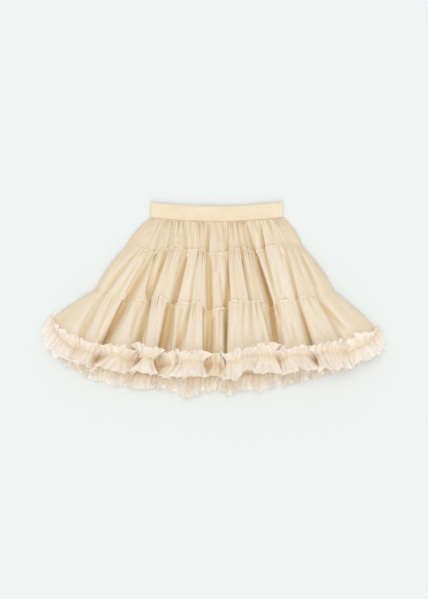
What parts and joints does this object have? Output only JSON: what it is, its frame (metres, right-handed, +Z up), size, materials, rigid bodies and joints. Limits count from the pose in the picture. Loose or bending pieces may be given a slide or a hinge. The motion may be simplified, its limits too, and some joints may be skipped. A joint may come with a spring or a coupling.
{
  "type": "tulle skirt",
  "caption": "Child's tiered tulle skirt lying flat: elastic waistband, gathered tiers and a ruffle round the hem.",
  "frame": {"origin": "middle of the skirt's outline, on the surface that its back lies on", "axes": "+X across the skirt to the viewer's right, +Y from the hem to the waist, +Z up from the surface through the back to the front"},
  "size_m": [0.6178, 0.352, 0.0535],
  "materials": {
    "elastic": "smooth woven elastic, cream yellow",
    "tulle": "fine soft net, matte, cream",
    "ruffle": "fine soft net, matte, pale cream"
  },
  "bodies": {
    "root": {"waistband": "elastic", "tier1_front": "tulle", "tier1_back": "tulle", "tier2_front": "tulle", "tier2_back": "tulle", "tier3_front": "tulle", "tier3_back": "tulle", "hem_ruffle_front": "ruffle", "hem_ruffle_back": "ruffle"}
  },
  "joints": []
}
